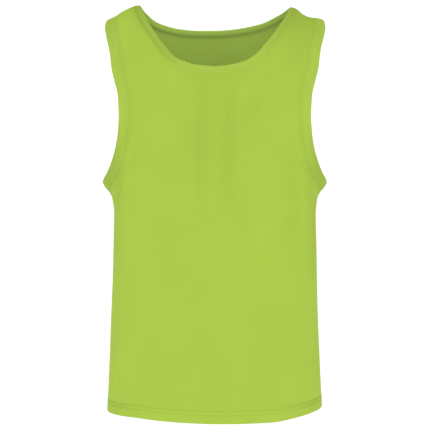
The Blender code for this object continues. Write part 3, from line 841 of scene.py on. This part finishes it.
def add(tree, kind, values=(), **properties):
    """The outputs of a new node, once its properties and inputs are set."""
    node = tree.nodes.new(kind)
    for name, value in properties.items():
        setattr(node, name, value)
    fill(tree, node.inputs, values)
    return node.outputs


def calc(tree, operation, *values):
    return add(tree, "ShaderNodeMath", enumerate(values), operation=operation)[0]


def found(store, name, build, *values):
    """The node tree or material of that name, built if it isn't there yet."""
    return store.get(name) or build(name, *values)


def new_tree(name, kind, inputs, outputs):
    """An empty tree, what it is given and where its results go, from the kind of each socket."""
    tree = bpy.data.node_groups.new(name, kind)
    for way, sockets in (("INPUT", inputs), ("OUTPUT", outputs)):
        for label, socket in sockets.items():
            tree.interface.new_socket(label, in_out=way, socket_type=f"NodeSocket{socket}")
    return tree, tree.nodes.new("NodeGroupInput").outputs, tree.nodes.new("NodeGroupOutput").inputs


def knit_group(name):
    """Staggered small holes between upright ribs of loops, on a map of the flat cloth in metres."""
    sizes = dict.fromkeys(("Wale", "Course", "Hole size", "Rib"), "Float")
    masks = dict.fromkeys(("Hole", "Ribs", "Hollow", "Relief"), "Float")
    tree, given, result = new_tree(name, "ShaderNodeTree", {"Place": "Vector", **sizes}, masks)
    math = partial(calc, tree)
    noise = {"Vector": given["Place"], "Scale": 90.0, "Detail": 1.0}
    drift = add(tree, "ShaderNodeTexNoise", noise)["Color"]
    drifted = {0: drift, 1: (0.0007, 0.0007, 0.0), 2: given["Place"]}
    place = add(tree, "ShaderNodeVectorMath", drifted, operation="MULTIPLY_ADD")[0]
    place = add(tree, "ShaderNodeSeparateXYZ", {0: place})
    course = math("DIVIDE", place["Y"], given["Course"])
    is_odd = math("PINGPONG", math("FLOOR", course), 1.0)
    wale = math("MULTIPLY_ADD", is_odd, 0.5, math("DIVIDE", place["X"], given["Wale"]))
    squares = []
    for number, pitch in ((wale, given["Wale"]), (course, given["Course"])):
        off = math("MULTIPLY", math("SUBTRACT", math("FRACT", number), 0.5), pitch)
        squares.append(math("POWER", off, 2.0))
    inner = math("MULTIPLY", given["Hole size"], 0.7)
    rim = {0: math("SQRT", math("ADD", *squares)), 1: inner, 2: given["Hole size"], 3: 1.0, 4: 0.0}
    hole = add(tree, "ShaderNodeMapRange", rim, interpolation_type="SMOOTHSTEP")[0]
    swing = math("MULTIPLY", math("DIVIDE", place["X"], given["Rib"]), 2 * np.pi)
    ribs = math("MULTIPLY_ADD", math("SINE", swing), 0.5, 0.5)
    loop = math("SINE", math("MULTIPLY", course, 6 * np.pi))
    leg = math("COSINE", math("MULTIPLY", wale, 4 * np.pi))
    hollow = math("MULTIPLY_ADD", math("MULTIPLY", loop, leg), -0.5, 0.5)
    yarn = math("MULTIPLY_ADD", hollow, -0.45, 1.0)
    relief = math("MULTIPLY_ADD", ribs, 0.2, math("MULTIPLY", yarn, math("SUBTRACT", 1.0, hole)))
    fill(tree, result, {"Hole": hole, "Ribs": ribs, "Hollow": hollow, "Relief": relief})
    return tree


def tone_group(name):
    """A dye's slow change over the cloth, with a fine fibre grain."""
    inputs = {"Position": "Vector", "Patch": "Float", "Grain": "Float"}
    tree, given, result = new_tree(name, "ShaderNodeTree", inputs, {"Tone": "Float"})
    tone = 1.0
    for label, scale in (("Patch", 11.0), ("Grain", 900.0)):
        noise = {"Vector": given["Position"], "Scale": scale, "Detail": 2.0}
        change = calc(tree, "SUBTRACT", add(tree, "ShaderNodeTexNoise", noise)[0], 0.5)
        tone = calc(tree, "MULTIPLY_ADD", change, given[label], tone)
    fill(tree, result, {"Tone": tone})
    return tree


def grouped(tree, name, build, values):
    """The outputs of a shader group placed in a material."""
    group = found(bpy.data.node_groups, name, build)
    return add(tree, "ShaderNodeGroup", values, node_tree=group)


def dyed_tone(tree, patch, grain):
    position = add(tree, "ShaderNodeTexCoord")["Object"]
    values = {"Position": position, "Patch": patch, "Grain": grain}
    return grouped(tree, "Cloth tone", tone_group, values)["Tone"]


def new_material(name, roughness, sheen):
    material = bpy.data.materials.new(name)
    material.use_nodes = True
    tree = material.node_tree
    shader = tree.nodes["Principled BSDF"].inputs
    values = {"Roughness": roughness, "Sheen Weight": sheen, "Sheen Roughness": 0.6}
    fill(tree, shader, {**values, "Specular IOR Level": 0.04})
    return material, tree, shader


def scaled(tree, colour, factor):
    """A colour times a factor that changes over the surface."""
    values = {0: tuple(colour), "Scale": factor}
    return add(tree, "ShaderNodeVectorMath", values, operation="SCALE")[0]


def darkened(tree, tone, mask, amount):
    """A tone that loses a share of itself where the mask is 1."""
    return calc(tree, "MULTIPLY", tone, calc(tree, "MULTIPLY_ADD", mask, -amount, 1.0))


def mask_of(tree, name):
    return add(tree, "ShaderNodeAttribute", attribute_name=name)["Fac"]


def finish(tree, shader, colour, roughness, height, strength, distance):
    """Link what changes over a surface to its shader, its height by way of a bump."""
    bump = {"Strength": strength, "Distance": distance, "Height": height}
    bump = add(tree, "ShaderNodeBump", bump)[0]
    fill(tree, shader, {"Base Color": colour, "Roughness": roughness, "Normal": bump})


def knit_material(name, settings, lime, sizes, shades, relief, strength, holes):
    """Knitted cloth with painted shade in its holes and hollows, and painted pale light in its
    holes on the inside.
    """
    material, tree, shader = new_material(name, settings.roughness, settings.sheen)
    place = add(tree, "ShaderNodeUVMap", uv_map=MATERIAL_PLACE)[0]
    sizes = dict(zip(("Wale", "Course", "Hole size", "Rib"), sizes))
    knit = grouped(tree, "Open knit", knit_group, {"Place": place, **sizes})
    inside = mask_of(tree, "inside")
    patch, hole_shade, rib_shade = shades
    # Painted shade in the holes and in the hollows between the loops.
    tone = darkened(tree, dyed_tone(tree, patch, 0.05), knit["Hole"], hole_shade)
    tone = darkened(tree, tone, knit["Hollow"], settings.hollow_shade)
    ribs = calc(tree, "MULTIPLY", calc(tree, "MULTIPLY_ADD", inside, 1.8, 1.0), knit["Ribs"])
    tone = darkened(tree, tone, ribs, rib_shade)
    # The tone mask brings in the painted light and shade of the folds, seams, hem and listed
    # places.
    tone = calc(tree, "MULTIPLY", tone, mask_of(tree, "tone"))
    # Painted pale light in the holes, on the inside only, added to the colour as white.
    through = calc(tree, "MULTIPLY", holes or knit["Hole"], inside)
    through = calc(tree, "MULTIPLY", through, settings.through_light)
    light = {0: scaled(tree, lime, tone), 1: scaled(tree, WHITE, through)}
    colour = add(tree, "ShaderNodeVectorMath", light, operation="ADD")[0]
    rough = calc(tree, "MULTIPLY_ADD", knit["Relief"], -0.16, settings.roughness + 0.10)
    finish(tree, shader, colour, rough, knit["Relief"], strength, relief)
    return material


def thread_material(name, settings):
    """Twisted sewing thread."""
    material, tree, shader = new_material(name, 0.55, 0.1)
    position = add(tree, "ShaderNodeTexCoord")["Object"]
    wave = {"Vector": position, "Scale": 900.0, "Distortion": 1.5, "Detail": 1.0}
    twist = add(tree, "ShaderNodeTexWave", wave, bands_direction="DIAGONAL")["Fac"]
    tone = darkened(tree, dyed_tone(tree, 0.05, 0.10), twist, 0.22)
    rough = calc(tree, "MULTIPLY_ADD", twist, 0.2, 0.45)
    finish(tree, shader, scaled(tree, settings.thread, tone), rough, twist, 0.4, 0.00008)
    return material


# ---------------------------------------------------------------- stitches


def stitch_tree(name):
    """Stitches laid along a guide line at an even pitch, flat on the cloth under it."""
    sizes = dict.fromkeys(("Pitch", "Stitch length", "Thread width", "Thread height"), "Float")
    inputs = {"Guide": "Geometry", **sizes, "Thread": "Material"}
    tree, given, result = new_tree(name, "GeometryNodeTree", inputs, {"Stitches": "Geometry"})
    line = add(tree, "GeometryNodeMeshToCurve", {"Mesh": given["Guide"]})[0]
    line = {"Curve": line, "Length": given["Pitch"]}
    points = add(tree, "GeometryNodeResampleCurve", line, mode="LENGTH")[0]
    up = {"Name": "outward"}
    up = add(tree, "GeometryNodeInputNamedAttribute", up, data_type="FLOAT_VECTOR")[0]
    axes = {"Primary Axis": up, "Secondary Axis": add(tree, "GeometryNodeInputTangent")[0]}
    turn = add(tree, "FunctionNodeAxesToRotation", axes, primary_axis="Z", secondary_axis="X")[0]
    size = dict(zip("XYZ", (given["Stitch length"], given["Thread width"], given["Thread height"])))
    size = add(tree, "ShaderNodeCombineXYZ", size)[0]
    least_most = {0: (0.92, 0.90, 0.90), 1: (1.04, 1.08, 1.08), "Seed": 7}
    vary = add(tree, "FunctionNodeRandomValue", least_most, data_type="FLOAT_VECTOR")[0]
    size = add(tree, "ShaderNodeVectorMath", {0: size, 1: vary}, operation="MULTIPLY")[0]
    ball = {"Segments": 6, "Rings": 5, "Radius": 0.5}
    ball = add(tree, "GeometryNodeMeshUVSphere", ball)[0]
    laid = {"Points": points, "Instance": ball, "Rotation": turn, "Scale": size}
    laid = add(tree, "GeometryNodeInstanceOnPoints", laid)[0]
    real = add(tree, "GeometryNodeRealizeInstances", {0: laid})[0]
    smooth = add(tree, "GeometryNodeSetShadeSmooth", {"Geometry": real})[0]
    sewn = {"Geometry": smooth, "Material": given["Thread"]}
    fill(tree, result, {"Stitches": add(tree, "GeometryNodeSetMaterial", sewn)[0]})
    return tree


def sew_rows(name, rows, is_closed, settings):
    """One mesh with a run of stitches along each row, which is places on the cloth and a lift."""
    edges, start = [], 0
    for places, _ in rows:
        last = start + len(places) - 1
        edges += [(i, i + 1) for i in range(start, last)] + [(last, start)] * is_closed
        start = last + 1
    points = np.concatenate([cloth(places, lift) for places, lift in rows])
    normals = np.concatenate([outward(places) for places, _ in rows]).astype(np.float32)
    data = bpy.data.meshes.new(name)
    data.from_pydata(points.tolist(), edges, [])
    layer = data.attributes.new("outward", "FLOAT_VECTOR", "POINT")
    layer.data.foreach_set("vector", normals.ravel())
    obj = put(name, data)
    modifier = obj.modifiers.new("Stitches", "NODES")
    modifier.node_group = found(bpy.data.node_groups, "Stitch row", stitch_tree)
    values = {
        "Pitch": settings.pitch,
        "Stitch length": settings.length,
        "Thread width": settings.width,
        "Thread height": settings.height,
        "Thread": found(bpy.data.materials, "sewing_thread", thread_material, settings),
    }
    for item in modifier.node_group.interface.items_tree:
        if item.name in values and item.in_out == "INPUT":
            modifier[item.identifier] = values[item.name]
    graph = bpy.context.evaluated_depsgraph_get()
    graph.update()
    stitches = bpy.data.meshes.new_from_object(obj.evaluated_get(graph))
    obj.modifiers.remove(modifier)
    obj.data = stitches
    stitches.name = name
    if not stitches.polygons:
        raise RuntimeError(f"{name} has no stitches")
    return obj


def hem_rows(is_back, settings, sink):
    """The needle rows of one hem, from side seam to side seam."""
    turn = np.linspace(-QUARTER + 0.03, QUARTER - 0.03, 600)
    rows = []
    for needle in NEEDLE_ROWS:
        places = facing(pair(turn, hem_rise(np.sin(turn)) + needle), is_back)
        ripple = hem_ripple(flat_places(places)[:, 0], is_back, settings)
        rows.append((places, curve_of(HEM_PLACES, HEM_OUTER)(needle) + ripple + sink))
    return rows


# ---------------------------------------------------------------- settings


def number(name, description, default, **kind):
    return bpy.props.FloatProperty(name=name, description=description, default=default, **kind)


metres = partial(number, unit="LENGTH")
factor = partial(number, subtype="FACTOR", min=0.0, max=1.0)
amount = partial(number, min=0.0)


def dye(name, description, default):
    return bpy.props.FloatVectorProperty(
        name=name, description=description, default=default, subtype="COLOR"
    )


class BibClothSettings(bpy.types.PropertyGroup):
    """Sizes and colours of the cloth."""

    wall: metres("Wall", "Thickness of one layer of cloth", 0.0012)
    # Painted shade in the folds' troughs and painted light on their ridges, per metre of rise.
    fold_tone: amount("Fold tone", "Gain in tone for each metre that the cloth is raised", 14.0)
    hem_ripple: metres("Hem ripple", "Height of the ripple along the hem", 0.00018)
    wale: metres("Wale", "Distance between holes across the cloth", 0.0022)
    course: metres("Course", "Distance between rows of holes", 0.0012)
    hole_size: metres("Hole size", "Radius of a hole", 0.00044)
    # Painted shade in the holes and between the yarn's loops.
    hole_shade: factor("Hole shade", "How dark the holes are", 0.43)
    hollow_shade: factor("Hollow shade", "How dark the yarn is between its loops", 0.08)
    # Painted pale light in the holes on the inside.
    through_light: factor("Light through", "Pale light that the holes show inside", 0.25)
    rib: metres("Rib", "Distance between the faint upright ribs", 0.0058)
    rib_shade: factor("Rib shade", "How dark the ribs' sides are", 0.020)
    relief: metres("Knit relief", "Height of the knit's loops", 0.00035)
    roughness: factor("Roughness", "Roughness of the yarn", 0.78)
    sheen: factor("Sheen", "Soft sheen of the yarn", 0.006)
    lime: dye("Cloth colour", "Dye of the front and back", (0.4550, 0.6335, 0.0760))
    binding_lime: dye("Binding colour", "Dye of the bindings", (0.417, 0.584, 0.0765))
    binding_lift: metres("Binding lift", "How far a binding stands over the panels", 0.0005)
    binding_needle: metres("Binding needle", "From a binding's seam to its stitches", 0.0028)
    pucker: metres("Pucker", "Height of the puckers along a binding", 0.00016)


class BibStitchSettings(bpy.types.PropertyGroup):
    """Sizes and colour of the sewing."""

    pitch: metres("Pitch", "Distance from stitch to stitch", 0.0027)
    length: metres("Length", "Length of one stitch", 0.0023)
    width: metres("Width", "Width of the thread", 0.00052)
    height: metres("Height", "Height of the thread as it lies", 0.00036)
    sink: metres("Lie", "Height of the thread's middle over the cloth", 0.00010)
    thread: dye("Thread colour", "Dye of the thread", (0.38, 0.54, 0.068))


class BibStageSettings(bpy.types.PropertyGroup):
    """The studio round the bib."""

    camera_distance: metres("Camera distance", "From the bib's middle plane", 3.0)
    camera_height: metres("Camera height", "Above the origin", -0.205)
    aim_height: metres("Aim height", "Height that the camera looks at", -0.3366)
    view_width: metres("View width", "Width in view at the bib's middle plane", 0.7236)
    floor_height: metres("Floor height", "Height of the floor", -1.10)
    surround: amount("Surround", "Strength of the even light from all round", 1.15)
    zenith: amount("Zenith", "Share of the surround's light straight from above", 0.55)
    floor_glow: amount("Floor glow", "Light of the lit floor's own", 0.30)
    key: amount("Key", "Power of the broad light in front", 14.0, subtype="POWER")
    top: amount("Top", "Power of the broad light overhead", 4.0, subtype="POWER")


# ---------------------------------------------------------------- operators


class BIB_OT_sew_panels(bpy.types.Operator):
    """Sew the front and back of open knit, with their turned hems"""

    bl_idname = "bib.sew_panels"
    bl_label = "Sew Front and Back"

    def execute(self, context):
        s = context.scene.bib_cloth
        # Dye patch, painted shade in the holes, and rib shade.
        sizes, shades = (s.wale, s.course, s.hole_size, s.rib), (0.10, s.hole_shade, s.rib_shade)
        knit = knit_material, s, s.lime, sizes, shades, s.relief, 0.55, None
        material = found(bpy.data.materials, "mesh_knit_cloth", *knit)
        for name, is_back in PANELS.items():
            piece = sew_panel(f"{name}_cloth", is_back, s, material)
            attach(piece, "root")
            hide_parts(f"{name}_panel")
        return {"FINISHED"}


class BIB_OT_bind_openings(bpy.types.Operator):
    """Fold the bindings round the neck and both armholes"""

    bl_idname = "bib.bind_openings"
    bl_label = "Bind Neck and Armholes"

    def execute(self, context):
        s = context.scene.bib_cloth
        # Dye patch, painted shade in the holes and rib shade; then relief, bump strength and the
        # share of painted pale light in the holes.
        sizes, shades = (BINDING_RIB / 2, 0.0014, 0.00032, BINDING_RIB), (0.08, 0.18, 0.0)
        knit = knit_material, s, s.binding_lime, sizes, shades, 0.0002, 0.45, 0.15
        material = found(bpy.data.materials, "binding_cloth", *knit)
        for opening in bound_openings():
            piece = turn_binding(opening, s, material)
            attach(piece, "root")
            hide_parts(f"{opening.label}_band")
        return {"FINISHED"}


class BIB_OT_sew_stitches(bpy.types.Operator):
    """Sew the hems' two needle rows, and the row that holds each binding beside its seam"""

    bl_idname = "bib.sew_stitches"
    bl_label = "Sew Stitches"

    def execute(self, context):
        settings, stitches = context.scene.bib_cloth, context.scene.bib_stitches
        for name, is_back in PANELS.items():
            rows = hem_rows(is_back, settings, stitches.sink)
            piece = sew_rows(f"{name}_hem_stitches", rows, False, stitches)
            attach(piece, "root")
        for opening in bound_openings():
            needle = opening.width - settings.binding_needle
            lift = settings.binding_lift - NEEDLE_DEPTH + stitches.sink
            lift += puckers(opening, needle / opening.width, settings)
            rows = [(moved(opening.edge, needle, opening.centre), lift)]
            piece = sew_rows(f"{opening.label}_stitches", rows, True, stitches)
            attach(piece, "root")
        return {"FINISHED"}


class BIB_OT_declare_cuts(bpy.types.Operator):
    """A step that does nothing: it states no flat cuts"""

    bl_idname = "bib.declare_cuts"
    bl_label = "State Flat Cuts"

    def execute(self, context):
        return {"FINISHED"}


class BIB_OT_set_stage(bpy.types.Operator):
    """Lay the pale floor and set the soft lights and the camera"""

    bl_idname = "bib.set_stage"
    bl_label = "Set Stage"

    def execute(self, context):
        scene, settings = context.scene, context.scene.bib_stage
        lay_floor(settings)
        set_lights(scene, settings)
        set_camera(scene, settings)
        scene.view_settings.view_transform = "Standard"
        return {"FINISHED"}


def lay_floor(settings):
    """A wide round floor well below the hem."""
    around = np.linspace(0, 2 * np.pi, 96, endpoint=False)
    points = [(40 * np.cos(a), 40 * np.sin(a), settings.floor_height) for a in around]
    data = bpy.data.meshes.new("floor")
    data.from_pydata(points, [], [range(len(points))])
    material, tree, shader = new_material("floor_paint", 0.9, 0.0)
    paint = scaled(tree, (0.93, 0.93, 0.93), dyed_tone(tree, 0.01, 0.0))
    glow = {"Emission Color": (*WHITE, 1.0), "Emission Strength": settings.floor_glow}
    fill(tree, shader, {"Base Color": paint, **glow})
    data.materials.append(material)
    put("floor", data)


def set_lights(scene, settings):
    """Even light from all round, a broad light in front and one overhead."""
    scene.world = world = bpy.data.worlds.new("Studio")
    world.use_nodes = True
    tree = world.node_tree
    direction = add(tree, "ShaderNodeTexCoord")["Generated"]
    levels = {
        "Value": add(tree, "ShaderNodeSeparateXYZ", {0: direction})["Z"],
        "From Min": 0.15,
        "From Max": 1.0,
        "To Min": settings.surround,
        "To Max": settings.surround * settings.zenith,
    }
    light = {"Color": (*WHITE, 1.0), "Strength": add(tree, "ShaderNodeMapRange", levels)[0]}
    fill(tree, tree.nodes["Background"].inputs, light)
    for name, place, power in (
        ("front_light", (0.1, -4.4, 0.2), settings.key),
        ("top_light", (0.2, -0.6, 3.0), settings.top),
    ):
        light = bpy.data.lights.new(name, "AREA")
        light.shape = "DISK"
        light.size = 2.6
        light.energy = power
        put(name, light, place, Vector((0, 0, settings.aim_height)))


def set_camera(scene, settings):
    """A level view of the front from a little above the middle."""
    data = bpy.data.cameras.new("camera")
    data.sensor_width = 36.0
    data.lens = data.sensor_width * settings.camera_distance / settings.view_width
    place = (0, -settings.camera_distance, settings.camera_height)
    scene.camera = put("camera", data, place, Vector((0, 0, settings.aim_height)))


# ---------------------------------------------------------------- add-on


class BIB_PT_sidebar(bpy.types.Panel):
    """Steps that make the bib, in order"""

    bl_idname = "BIB_PT_sidebar"
    bl_label = "Mesh Training Bib"
    bl_space_type = "VIEW_3D"
    bl_region_type = "UI"
    bl_category = "Bib"

    def draw(self, context):
        for operator in OPERATORS:
            self.layout.operator(operator.bl_idname)
        for group in SETTINGS:
            settings = getattr(context.scene, group)
            box = self.layout.box()
            for name in settings.__annotations__:
                box.prop(settings, name)


OPERATORS = (
    BIB_OT_sew_panels,
    BIB_OT_bind_openings,
    BIB_OT_sew_stitches,
    BIB_OT_declare_cuts,
    BIB_OT_set_stage,
)
SETTINGS = {
    "bib_cloth": BibClothSettings,
    "bib_stitches": BibStitchSettings,
    "bib_stage": BibStageSettings,
}
CLASSES = (*SETTINGS.values(), *OPERATORS, BIB_PT_sidebar)


def register():
    for cls in CLASSES:
        bpy.utils.register_class(cls)
    for name, group in SETTINGS.items():
        setattr(bpy.types.Scene, name, bpy.props.PointerProperty(type=group))


def unregister():
    for name in SETTINGS:
        delattr(bpy.types.Scene, name)
    for cls in reversed(CLASSES):
        bpy.utils.unregister_class(cls)


def main():
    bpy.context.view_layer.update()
    register()
    bpy.ops.bib.sew_panels()
    bpy.ops.bib.bind_openings()
    bpy.ops.bib.sew_stitches()
    bpy.ops.bib.declare_cuts()
    bpy.ops.bib.set_stage()


if __name__ == "__main__":
    main()
